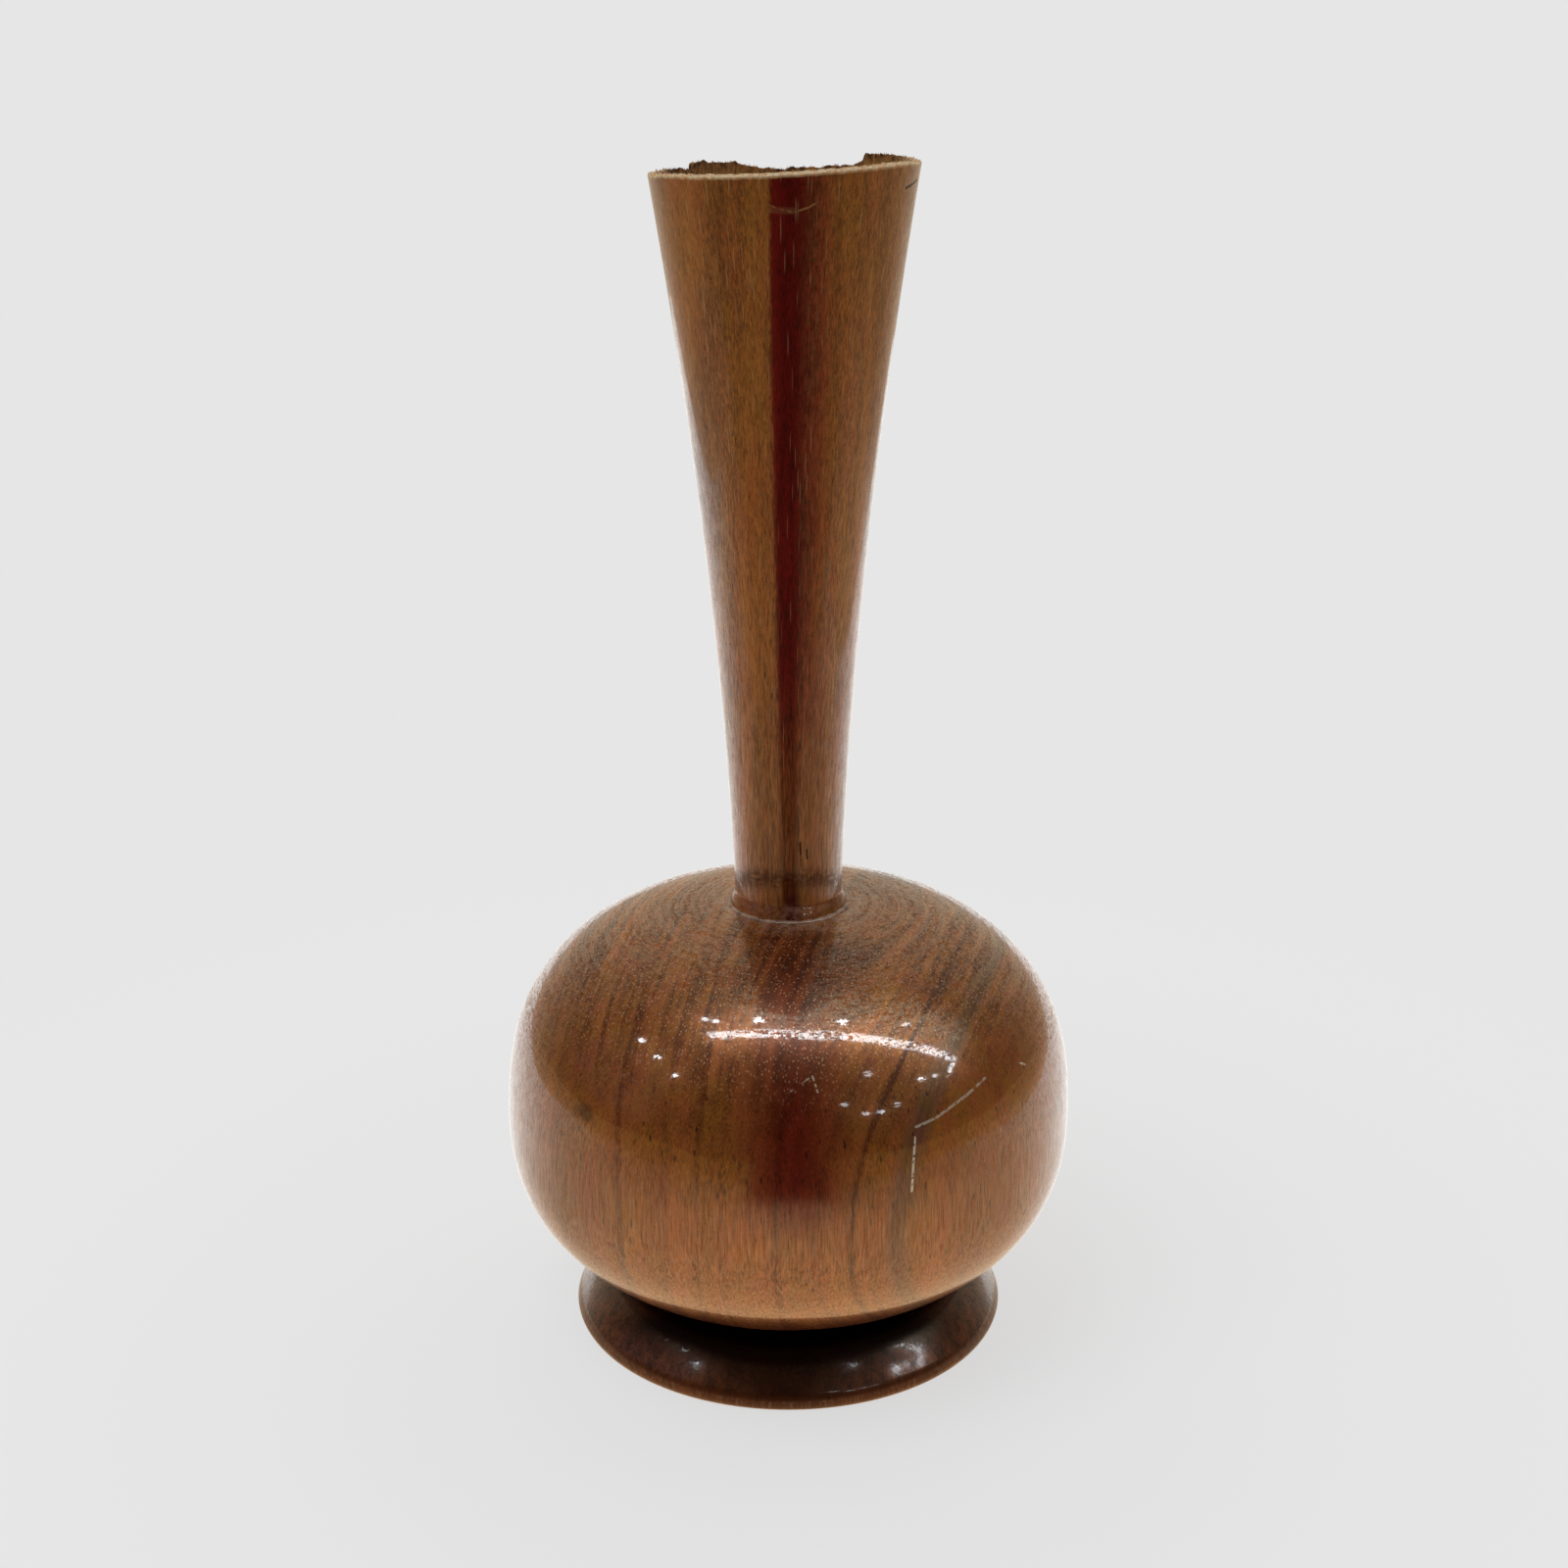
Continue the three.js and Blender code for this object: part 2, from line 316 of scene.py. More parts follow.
class Finish(Tree):
    """A material in the making, with the few patterns that the finishes here share."""

    def __init__(self, name):
        self.material = bpy.data.materials.new(name)
        self.material.use_nodes = True
        super().__init__(self.material.node_tree)
        self.tree.nodes.clear()
        where = self.add("ShaderNodeTexCoord", output="Object")
        self.mm = self.scaled(where, 1 / MM)
        self.normal = where.out("Normal")
        self.x, self.y, self.z = self.split(self.mm)

    def scaled(self, vector, factor):
        return self.add("ShaderNodeVectorMath", {"operation": "SCALE"}, {0: vector, "Scale": factor})

    def set_grain(self, cosine, sine):
        """Places across the growth rings and along them, for rings turned from the line of sight."""
        self.across = cosine * self.x - sine * self.y
        self.along = sine * self.x + cosine * self.y
        return self.across, self.along

    def stretched(self, width, length):
        """Places counted in widths across the fibres and in lengths along them."""
        return self.across / width, self.along / width, self.z / length

    def from_axis(self):
        """The distance from the vase's axis in mm."""
        return self.vector("LENGTH", self.join(self.x, self.y, 0), output="Value")

    def bearing(self):
        """The angle around the axis in radians, 0 in front and growing to the right."""
        return self.math("ARCTAN2", self.x, self.y * -1)

    def noise(self, x, y, z, detail=2, roughness=0.5):
        place = self.join(x, y, z)
        sockets = {"Vector": place, "Scale": 1, "Detail": detail, "Roughness": roughness}
        return self.add("ShaderNodeTexNoise", None, sockets)

    def lumps(self, width, height, detail=2, roughness=0.5):
        """Noise in lumps of a width and a height in mm."""
        return self.noise(self.x / width, self.y / width, self.z / height, detail, roughness)

    def smooth(self, value, low, high):
        """0 where the value is at the low mark, 1 at the high one, eased between."""
        sockets = {"Value": value, "From Min": low, "From Max": high}
        return self.add("ShaderNodeMapRange", {"interpolation_type": "SMOOTHSTEP"}, sockets)

    def line(self, value, centre, half_width):
        """1 at the centre, 0 beyond its half width."""
        return self.smooth(abs(value - centre), half_width, 0)

    def between(self, value, start, full, fading, end):
        """0, then 1 from the full mark to the fading one, then 0 again."""
        return self.smooth(value, start, full) * self.smooth(value, end, fading)

    def ramp(self, value, stops):
        """A tone that follows stops, which are pairs of a place from 0 to 1 and a tone."""
        ramp = self.add("ShaderNodeValToRGB", None, {"Fac": value})
        elements = ramp.socket.node.color_ramp.elements
        elements.remove(elements[-1])
        elements[0].position = stops[0][0]
        for place, _ in stops[1:]:
            elements.new(place)
        for element, (_, tone) in zip(elements, stops):
            element.color = (tone, tone, tone, 1)
        return self.split(ramp)[0]

    def mix(self, share, first, second, blend="MIX"):
        settings = {"data_type": "RGBA", "blend_type": blend}
        return self.add("ShaderNodeMix", settings, {0: share, 6: first, 7: second}, output=2)

    def pores(self, x, y, z, reach):
        """Short hollow tubes in the wood: 1 inside them."""
        sockets = {"Vector": self.join(x, y, z), "Scale": 1}
        cells = self.add("ShaderNodeTexVoronoi", {"feature": "F1"}, sockets)
        chance = self.split(cells.out("Color"))[0]
        return self.smooth(cells, reach, reach * 0.55) * chance

    def scratch(self, start, end, width):
        """1 on a straight mark between two places in mm."""
        along = tuple(e - s for s, e in zip(start, end))
        length = sum(part * part for part in along)
        offset = self.vector("SUBTRACT", self.mm, start)
        share = self.vector("DOT_PRODUCT", offset, along, output="Value") / length
        held = self.add("ShaderNodeClamp", None, {"Value": share})
        nearest = self.scaled(along, held)
        apart = self.vector("LENGTH", self.vector("SUBTRACT", offset, nearest), output="Value")
        return self.smooth(apart, width, width * 0.4)

    def marks(self, width, *lines):
        """1 on marks of one width, each through several places in mm."""
        legs = [leg for line in lines for leg in zip(line[:-1], line[1:])]
        return self.most(*[self.scratch(start, end, width) for start, end in legs])

    def fibres(self, width, length):
        """Fibres of a width and a length in mm, from about -1 to 1."""
        return (self.noise(*self.stretched(width, length), detail=3, roughness=0.65) - 0.5) * 4

    def worn(self):
        """1 on the fine scratches that years of wiping leave in a lacquer."""
        sweep = self.noise(self.x * 0.3, self.y * 0.3, self.z * 1.6 - self.x * 0.4, detail=3, roughness=0.7)
        steep = self.noise(self.x * 1.5 + self.z * 0.5, self.y * 0.9, self.z * 0.25, detail=3, roughness=0.7)
        return self.most(self.line(sweep, 0.5, 0.014), self.line(steep, 0.5, 0.008))

    def grain(self, tone, dark, light):
        """The colour to begin with, from a tone between about 0 and 1."""
        self.colour = self.mix(self.smooth(tone, -0.05, 1.05), dark, light)

    def stain_and_dark_reflection(self, tint):
        self.colour = self.mix(1.0, self.colour, tint, "MULTIPLY")

    def paint(self, share, colour):
        """Lays a colour over what is there, by the given share."""
        self.colour = self.mix(share, self.colour, colour)

    def lacquer(self, fibre, relief, bare=0, dull=0, haze=0.065):
        """Wood under a clear coat. Cut fibres give back warm light, and more so where they lie bright."""
        grit = self.lumps(0.3, 4) - 0.5
        shine = 0.84 + 0.12 * fibre + 2.1 * grit - 0.7 * self.worn() - dull
        bump = self.add("ShaderNodeBump", None, {"Strength": 0.4, "Distance": 0.1 * MM, "Height": relief})
        shader = self.add("ShaderNodeBsdfPrincipled", None, {
            "Base Color": self.colour,
            "Metallic": (0.2 + 0.12 * fibre) * (1 - bare),
            "Roughness": 0.3 - 0.04 * fibre + 0.42 * bare,
            "IOR": 1.5,
            "Specular IOR Level": 0.34,
            "Specular Tint": (1, 0.85, 0.7),
            "Coat Weight": self.most(shine, 0) * (1 - bare),
            "Coat IOR": 1.7,
            "Coat Roughness": haze,
            "Normal": bump,
        })
        return self.done(shader)

    def glow(self, colour, strength=1):
        """Light that looks the same from all sides."""
        return self.add("ShaderNodeEmission", None, {"Color": colour, "Strength": strength})

    def done(self, surface):
        self.add("ShaderNodeOutputMaterial", None, {"Surface": surface})
        print(self.material.name, "has", len(self.tree.nodes), "nodes")
        return self.material


# %% [markdown]
# The globe's growth rings stand at about 14 degrees to the line of sight. Their places across the wood
# are read off the photograph, as a list of tones. On the right they bow outwards, as rings do
# near the bark. A lacquered wood gives light back in three ways: deep red from inside, orange-brown and
# broad from the cut fibres, and white and sharp from the lacquer. They are the base colour, a slightly
# metallic base with a tinted specular, and the coat. Where sanding and scratches dull the lacquer, and
# at the lowest edge under painted shade, the coat gets less weight, so that what it mirrors looks frayed
# there.

# %% Globe wood
RING_TONES = [
    (-50, 0.50), (-31, 0.54), (-29, 0.42), (-27, 0.56), (-18, 0.58), (-17, 0.34), (-16, 0.60),
    (-10, 0.54), (-9, 0.42), (-8, 0.58), (-3.8, 0.55), (-3, 0.32), (-2.2, 0.55), (0.4, 0.55), (1.2, 0.40),
    (2.2, 0.58), (9, 0.54), (10, 0.28), (11, 0.58), (15.6, 0.55), (16.2, 0.42), (16.8, 0.56),
    (20.5, 0.58), (21.3, 0.16), (22.0, 0.50), (27.2, 0.52), (27.8, 0.14), (28.3, 0.46), (28.8, 0.2),
    (29.4, 0.52), (31, 0.66), (50, 0.62),
]


def globe_finish():
    wood = Finish("globe_lacquered_wood")
    across, along = wood.set_grain(0.970, 0.242)
    x, y, up = wood.x, wood.y, wood.z
    smooth, paint, marks = wood.smooth, wood.paint, wood.marks
    # Ends is 1 on top of the globe, where the surface cuts across the fibres.
    ends = smooth(abs(wood.split(wood.normal)[2]), 0.35, 0.85)
    drift = wood.noise(across / 22, along / 30, up / 90) - 0.5
    bow = smooth(across, 8, 22) * (up - 36) ** 2 * 0.0065
    ring = across - bow + drift * 2.4
    fibre = wood.fibres(0.22, 7)
    hair = wood.fibres(0.13, 2.5)
    streak = wood.fibres(1.5, 45)
    broad = wood.fibres(5, 70)
    sheet = (wood.noise(ring / 1.5, along / 25, up / 60, detail=3, roughness=0.7) - 0.5) * 4
    stops = [((place + 50) / 100, tone) for place, tone in RING_TONES]
    tone = wood.ramp((ring + fibre * 0.22 + 50) / 100, stops)
    tone += fibre * (0.34 + 0.14 * ends) + hair * (0.22 + 0.12 * ends)
    tone += streak * (0.13 + 0.1 * ends) + broad * 0.1 + sheet * (0.05 + 0.46 * ends)
    wood.grain(tone, (0.065, 0.011, 0.002), (0.45, 0.147, 0.025))
    paint(0.5 * wood.between(ring, 25.4, 27.4, 29.2, 30.8), (0.19, 0.1, 0.045))
    # Patches of redder and yellower wood, and a painted dark reflection in the middle of the front.
    cloud = wood.noise(*wood.stretched(3.5, 11))
    tint = wood.mix(smooth(cloud, 0.3, 0.7), (1.04, 0.92, 1.25), (0.97, 1.06, 0.9))
    painted_dark_reflection = wood.line(x, 1, 13) * smooth(y, -5, -25) * smooth(up, 36, 44)
    dark_reflection_tint = wood.mix(ends, (0.5, 0.03, 0.25), (0.4, 0.14, 0.2))
    wood.stain_and_dark_reflection(wood.mix(painted_dark_reflection * 0.85, tint, dark_reflection_tint))
    # Dark pores on the sides, and on top pale specks of cut fibres, painted partly as glints in the lacquer.
    pore = wood.pores(*wood.stretched(1.1, 5), 0.22)
    specks_and_glints = wood.math("MINIMUM", wood.pores(*wood.stretched(0.5, 5), 0.34) * 1.7, 1)
    paint(pore * (1 - ends) * 0.9, (0.012, 0.004, 0.002))
    paint(specks_and_glints * ends * 0.6, (0.8, 0.43, 0.24))
    # Glue smeared round the neck, paler in part as a painted sheen, painted shade at the lowest edge, and a
    # knot.
    reach = wood.from_axis()
    glue_and_sheen_patches = smooth(wood.lumps(1.6, 1.6, detail=3), 0.4, 0.65)
    paint(smooth(reach, 16, 10.5) * glue_and_sheen_patches * 0.7, (0.42, 0.27, 0.2))
    low = smooth(up + 0.5 * fibre, 23.5, 17.5)
    paint(low * 0.8, (0.05, 0.009, 0.003))
    paint(0.7 * marks(1.7, [(-33.3, -33.6, 54), (-32.3, -34.2, 53.5)]), (0.03, 0.004, 0.002))
    # Scuffs, some of them faint, all broken up, and the fine rings that sanding left on the lathe.
    scuff = marks(0.3, [(20, -42.6, 54), (19.8, -44, 49.7), (19.6, -44.6, 45.4)],
                       [(38, -25.2, 58.6), (38.9, -23.8, 57.4)])
    faint = marks(0.32, [(20.2, -42, 55.4), (23.4, -40.1, 56), (25.8, -38.2, 56.9),
                              (28.8, -35.4, 57.9), (31.7, -31.9, 59)])
    hook = marks(0.22, [(-0.3, -43.3, 61.7), (3.2, -41.7, 63.7)], [(3.8, -41.5, 64), (4.6, -43, 62)])
    broken = wood.noise(x * 1.4, y * 1.4, up * 1.4)
    scuff = wood.most(scuff, 0.6 * wood.most(faint, hook)) * smooth(broken, 0.36, 0.5)
    rings = wood.noise(reach * 1.1, up * 1.1, across * 0.09, detail=3, roughness=0.7)
    rings = smooth(abs(rings - 0.5), 0.09, 0.02) * smooth(broken, 0.42, 0.56) * smooth(up, 52, 60)
    paint(scuff, (0.85, 0.74, 0.6))
    waves = wood.lumps(6, 9, detail=1)
    relief = waves * 0.12 - pore * 0.5 + fibre * 0.02 - scuff * 0.5
    return wood.lacquer(fibre, relief, dull=wood.most(0.5 * scuff, rings) + 0.6 * low)


globe_wood = globe_finish()


# %% [markdown]
# The neck's fibres run straight up, with a painted dark reflection as a stripe in front. Its light hairs,
# painted partly as glints, lie in rows around the flare, so they are drawn by angle and height. Then come
# slits and a nick that a knock left, and above the joint a painted dark reflection ring and runs of glue.

# %% Neck wood
def neck_finish():
    wood = Finish("neck_lacquered_wood")
    across, along = wood.set_grain(0.985, -0.174)
    x, y, up = wood.x, wood.y, wood.z
    smooth, paint, marks = wood.smooth, wood.paint, wood.marks
    fibre = wood.fibres(0.24, 14)
    hair = wood.fibres(0.12, 7)
    streak = wood.fibres(1.6, 90)
    ring = wood.noise(across / 3.2, along / 40, up / 200, detail=1) - 0.5
    tone = 0.5 + fibre * 0.34 + hair * 0.22 + streak * 0.17 + ring * 0.8
    wood.grain(tone, (0.07, 0.012, 0.002), (0.46, 0.155, 0.028))
    cloud = wood.noise(across / 2.4, along / 3, up / 30)
    tint = wood.mix(smooth(cloud, 0.3, 0.7), (1.05, 0.9, 1.12), (0.97, 1.09, 0.9))
    # The painted dark reflection stripe has a sharp left edge and a soft right one, and widens with the
    # flare.
    high = smooth(up, 110, 175)
    left_edge = -1.9 - 0.9 * high + 0.2 * fibre
    painted_dark_reflection = smooth(x - left_edge, -0.35, 0.35) * smooth(x - 2 * high, 6.5, 1.5)
    painted_dark_reflection = painted_dark_reflection * smooth(y, 2, -2) * (0.25 + 0.75 * smooth(up, 90, 125))
    wood.stain_and_dark_reflection(wood.mix(painted_dark_reflection * 0.95, tint, (0.58, 0.03, 0.25)))
    pore = wood.pores(*wood.stretched(1.4, 9), 0.12)
    paint(pore * 0.8, (0.014, 0.004, 0.002))
    # Painted glints on pale fibres, laid in rows around the flare.
    glint = wood.math("MINIMUM", wood.pores(wood.bearing() * 40, 0.4, up / 10, 0.26) * 1.4, 1)
    paint(glint * 0.5, (0.55, 0.3, 0.15))
    # Two slits low on the neck, one by the rim, and a pale nick.
    slits = wood.most(
        marks(0.22, [(1.9, -9.3, 91), (2, -9.3, 88.9)]),
        marks(0.2, [(3, -8.9, 89.6), (3.1, -8.9, 88)]),
        marks(0.4, [(19.6, -5, 198), (17.7, -9.7, 197.3)]),
    )
    paint(slits, (0.02, 0.003, 0.002))
    nick = marks(0.22, [(-3.6, -20.4, 196.3), (-1.4, -20.6, 195.4), (0.7, -20.6, 194.9),
                             (2.9, -20.3, 195.6), (4.6, -19.9, 196.6)])
    nick = nick * smooth(wood.noise(x * 1.5, y, up * 1.5), 0.35, 0.55)
    nick = wood.most(nick, marks(0.7, [(-2.6, -20.4, 195.3), (0.6, -20.6, 195.1)]) * 0.3)
    paint(nick * 0.75, (0.5, 0.25, 0.1))
    # A painted dark reflection ring above the joint, the painted dark root of the stripe, and runs of glue
    # over the bead.
    middle = 81.6 + 2.6 * smooth(y, -2, -9) + 0.25 * fibre
    ragged = wood.lumps(1.3, 0.8)
    stain_and_dark_reflection = wood.line(up, middle + 2 * (ragged - 0.5), 3) * smooth(ragged, 0.25, 0.55)
    root = wood.line(x, 0.6, 2.6) * smooth(up, 83, 80.5) * smooth(y, 2, -2)
    paint(root * 0.8, (0.06, 0.003, 0.006))
    paint(stain_and_dark_reflection * 0.8, (0.06, 0.012, 0.003))
    joint = smooth(up, 80.6, 79)
    runs = wood.lumps(0.8, 0.8)
    paint(joint * smooth(runs, 0.35, 0.65) * 0.5, (0.42, 0.2, 0.13))
    waves = wood.lumps(5, 14, detail=1)
    relief = waves * 0.1 - pore * 0.5 + fibre * 0.04 - slits + runs * joint * 1.4
    # Bare wood in the bore, and torn wood on the break: golden in front, dark at the back.
    bare = wood.add("ShaderNodeAttribute", {"attribute_name": "bare"}, output="Fac")
    torn = wood.add("ShaderNodeAttribute", {"attribute_name": "torn"}, output="Fac")
    raw = wood.mix(smooth(fibre, -0.8, 1), srgb(140, 96, 40), srgb(236, 176, 96))
    shred = wood.noise(x * 1.2, y * 1.2, up * 0.6, detail=3, roughness=0.6)
    front = wood.mix(smooth(shred, 0.38, 0.62), srgb(244, 190, 136), srgb(255, 234, 194))
    back = wood.mix(smooth(shred, 0.4, 0.62), srgb(60, 30, 10), srgb(190, 130, 70))
    paint(bare, raw)
    paint(torn, wood.mix(smooth(y, 2, 10), front, back))
    dull = wood.most(0.55 * stain_and_dark_reflection, 0.95 * slits, 0.25 * painted_dark_reflection, 0.35 * joint)
    return wood.lacquer(fibre, relief, bare, dull)


neck_wood = neck_finish()


# %% [markdown]
# The foot is the darkest piece. Painted shade fills its cove under the globe and darkens its front, and its
# worn lip is redder.

# %% Foot wood
def foot_finish():
    wood = Finish("foot_lacquered_wood")
    wood.set_grain(0.94, 0.342)
    x, y, up = wood.x, wood.y, wood.z
    fibre = wood.fibres(0.34, 9)
    wood.grain(0.5 + fibre * 0.5 + wood.fibres(1.8, 45) * 0.42, (0.03, 0.006, 0.002), (0.24, 0.07, 0.022))
    # Painted shade and a painted dark reflection darken the middle of the front.
    wood.paint(wood.line(x, 0, 22) * wood.smooth(y, -5, -25) * 0.85, (0.02, 0.003, 0.002))
    reach = wood.from_axis()
    # Painted shade on the front of the bevel and in the cove under the globe.
    shade = wood.smooth(reach, 37.2, 32.5) * wood.smooth(y, -14, -24) * wood.smooth(up, 3, 5)
    painted_shade = wood.most(shade, wood.smooth(reach, 35.5, 28) * wood.smooth(up, 3.5, 6.5))
    wood.paint(painted_shade, (0.002, 0.0005, 0.0005))
    lip = wood.smooth(up, 3.4, 2.5)
    wood.paint(lip * 0.6, (0.075, 0.018, 0.004))
    pore = wood.pores(*wood.stretched(1.2, 5), 0.18)
    wood.paint(pore * 0.8, (0.01, 0.003, 0.002))
    relief = wood.lumps(5, 5, detail=1) * 0.15 - pore * 0.4 + fibre * 0.02
    return wood.lacquer(fibre, relief, dull=painted_shade * 0.95 + lip * 0.8, haze=0.13)


foot_wood = foot_finish()


# %% [markdown]
# Dried glue is cloudy, with paler patches. A fine bump gives it a few bright points.

# %% Dried glue
def glue_finish():
    glue = Finish("dried_glue")
    cloud = glue.lumps(1.5, 1.5)
    colour = glue.mix(glue.smooth(cloud, 0.3, 0.7), (0.17, 0.07, 0.035), (0.48, 0.28, 0.18))
    beads = glue.lumps(0.35, 0.35)
    bump = glue.add("ShaderNodeBump", None, {"Strength": 0.6, "Distance": 0.1 * MM, "Height": beads})
    return glue.done(glue.add("ShaderNodeBsdfPrincipled", None, {
        "Base Color": colour,
        "Roughness": 0.5,
        "Coat Weight": 0.7,
        "Coat Roughness": 0.05,
        "Normal": bump,
    }))


dried_glue = glue_finish()

# %% [markdown]
# ## The foot
# The foot is a disc with a rounded lip, a bevel that swells a little, and a deep cove under the globe.
# It stands on a flat ring, because turners hollow the underside so that it can't rock. Its spigot plugs
# the hole through which the globe was hollowed.

# %% Foot
FOOT_RADIUS = 37.9
FOOT_HEIGHT = 9
LIP_HEIGHT = 2.8
LIP_ROUND = 1
STAND_RING = 7
RECESS = 1.6
SPIGOT_RADIUS = 14
SPIGOT_HEIGHT = 8
GLOBE_LAND = 22


def foot_outline():
    stand = FOOT_RADIUS - LIP_ROUND
    inner = stand - STAND_RING
    outline = [(0, RECESS), (inner - RECESS, RECESS), (inner, 0), (stand, 0)]
    for share in np.linspace(0, 1, 13)[1:]:
        lean = share * math.pi / 2
        outline.append((stand + LIP_ROUND * math.sin(lean), LIP_HEIGHT / 2 * (1 - math.cos(lean))))
    ridge = (FOOT_RADIUS - LIP_ROUND / 2, LIP_HEIGHT)
    crest = (ridge[0] - 6.8, FOOT_HEIGHT - 0.4)
    seat = (GLOBE_LAND + 1, FOOT_HEIGHT)
    steep = math.radians(53)
    rising = (ridge[0] - 4.6 * math.cos(steep), LIP_HEIGHT + 4.6 * math.sin(steep))
    outline.append(ridge)
    outline += bezier(ridge, rising, (crest[0] + 1.9, crest[1]), crest, 24)
    outline += bezier(crest, (crest[0] - 3.4, crest[1]), (seat[0] + 2.3, seat[1] - 3.8), seat, 20)
    top = FOOT_HEIGHT + SPIGOT_HEIGHT
    spigot = [(SPIGOT_RADIUS, FOOT_HEIGHT), (SPIGOT_RADIUS, top - 0.8), (SPIGOT_RADIUS - 0.8, top)]
    return outline + spigot + [(0, top)]


foot = turn("vase_foot", foot_outline(), foot_wood)

# %% [markdown]
# ## The globe
# The globe is a flattened ball: above and below its widest line it follows a superellipse, the curve of
# an ellipse that has been blown up a little. Even turns about its middle keep the points dense where the
# side bends. It is hollow, with a socket above and the foot's hole below.

# %% Globe
GLOBE_RADIUS = 48.9
GLOBE_WALL = 7
GLOBE_BELOW = 30.3
GLOBE_ABOVE = 37.7
EQUATOR = FOOT_HEIGHT + GLOBE_BELOW
GLOBE_TOP = EQUATOR + GLOBE_ABOVE
FULL_BELOW = 2.4
FULL_ABOVE = 2.54
STEPS_BELOW = 44
STEPS_ABOVE = 52
SOCKET = 8.7
TOP_LAND = 11.22
HOLE = SPIGOT_RADIUS + 0.2


def full_height(height, land, fullness):
    """Half height of the whole curve that has the given height at its land."""
    return height / (1 - (land / GLOBE_RADIUS) ** fullness) ** (1 / fullness)


def globe_arc(start, end, radius, height, fullness, side, steps):
    """Half of the globe's curve from one radius to another. The side is 1 above the widest line."""
    def lean(r):
        return math.atan2(height * (1 - (r / radius) ** fullness) ** (1 / fullness), r)

    arc = []
    for angle in np.linspace(lean(start), lean(end), steps + 1):
        across, along = math.cos(angle), math.sin(angle)
        reach = ((abs(across) / radius) ** fullness + (abs(along) / height) ** fullness) ** (-1 / fullness)
        arc.append((reach * across, EQUATOR + side * reach * along))
    return arc


def globe_outline():
    below = full_height(GLOBE_BELOW, GLOBE_LAND, FULL_BELOW)
    above = full_height(GLOBE_ABOVE, TOP_LAND, FULL_ABOVE)
    outer, inner = GLOBE_RADIUS, GLOBE_RADIUS - GLOBE_WALL
    outline = [(HOLE, FOOT_HEIGHT)]
    outline += globe_arc(GLOBE_LAND, outer, outer, below, FULL_BELOW, -1, STEPS_BELOW)
    outline += globe_arc(outer, TOP_LAND, outer, above, FULL_ABOVE, 1, STEPS_ABOVE)[1:]
    outline += [(SOCKET, GLOBE_TOP)]
    outline += globe_arc(SOCKET, inner, inner, above - GLOBE_WALL, FULL_ABOVE, 1, 24)
    outline += globe_arc(inner, HOLE, inner, below - GLOBE_WALL, FULL_BELOW, -1, 20)[1:]
    return outline + [(HOLE, FOOT_HEIGHT)]


globe = turn("vase_globe", globe_outline(), globe_wood, steps=288)


def sanding_waves(angle, radius, height, rows):
    """A polished surface is never quite true. Waves of some hundredths of a mm bend what it mirrors."""
    outside = rows <= STEPS_BELOW + STEPS_ABOVE + 1
    wave = np.sin(7 * angle + height * 0.31) + np.sin(11 * angle - height * 0.23 + 1)
    wave += np.sin(17 * angle + height * 0.47 + 2) * 0.5
    return radius + 0.022 * wave * outside, height, 0


reshape(globe, sanding_waves)

# %% [markdown]
# ## The neck
# The neck is a tube that flares in a curve between a straight cone and a trumpet, and gets thinner as it
# widens. It is turned to its full height first, with many rows of points across the top of the wall.
# Then the rim is broken: every point near the top moves to the height at which the wood tore there, and
# its radius is worked out again from the flare, so that both walls keep their curve.

# %% Neck blank
NECK_HEIGHT = 123
NECK_FOOT = 9
FOOT_WALL = 2.15
TENON_RADIUS = 8.5
TENON_LENGTH = 9
BEAD_HEIGHT = 2.6
BEAD_PROUD = 0.95
NOMINAL_RIM = GLOBE_TOP + NECK_HEIGHT
RIM_RADIUS = 21.35
RIM_WALL = 1.3
OUTER_ROWS = 34
WALL_ROWS = 12
INNER_ROWS = 22


def neck_radius(height):
    """Outer radius of the neck at a height in mm."""
    share = np.maximum((height - GLOBE_TOP) / NECK_HEIGHT, 0)
    return NECK_FOOT + (RIM_RADIUS - NECK_FOOT) * (0.25 * share + 0.75 * share**1.8)


def neck_wall(height):
    share = np.clip((height - GLOBE_TOP) / NECK_HEIGHT, 0, None)
    return FOOT_WALL + (RIM_WALL - FOOT_WALL) * share


def neck_outline():
    tenon = GLOBE_TOP - TENON_LENGTH
    outline = [(NECK_FOOT - FOOT_WALL, tenon), (TENON_RADIUS, tenon), (TENON_RADIUS, GLOBE_TOP)]
    for share in np.linspace(0, 1, 13)[:-1]:
        height = GLOBE_TOP + BEAD_HEIGHT * share
        proud = BEAD_PROUD * (0.5 + 0.5 * math.cos(math.pi * share)) ** 0.7
        outline.append((neck_radius(height) + proud, height))
    first = len(outline)
    for share in np.linspace(0, 1, OUTER_ROWS):
        height = GLOBE_TOP + BEAD_HEIGHT + (NECK_HEIGHT - BEAD_HEIGHT) * (1 - (1 - share) ** 1.6)
        outline.append((neck_radius(height), height))
    for share in np.linspace(0, 1, WALL_ROWS + 1)[1:]:
        outline.append((RIM_RADIUS - RIM_WALL * share, NOMINAL_RIM))
    for share in np.linspace(0, 1, INNER_ROWS)[1:]:
        height = NOMINAL_RIM - NECK_HEIGHT * share**1.4
        outline.append((neck_radius(height) - neck_wall(height), height))
    return outline + [outline[0]], first


outline, first_outer = neck_outline()
last_outer = first_outer + OUTER_ROWS - 1
neck = turn("vase_neck", outline, neck_wood, steps=1200)

# %% Broken rim
CHIPPED_BACK = [
    (139, 0), (140.5, -1.25), (146, -1.7), (160, -2.05), (182, -2), (188, -1.85), (194, -1.4),
    (200, -0.8), (208, -0.3), (217, 0), (226, 0.28), (227, -0.85), (241, -0.25), (262, 0),
]
BREAK_FOOT = 172
NECK_LEAN = -0.85


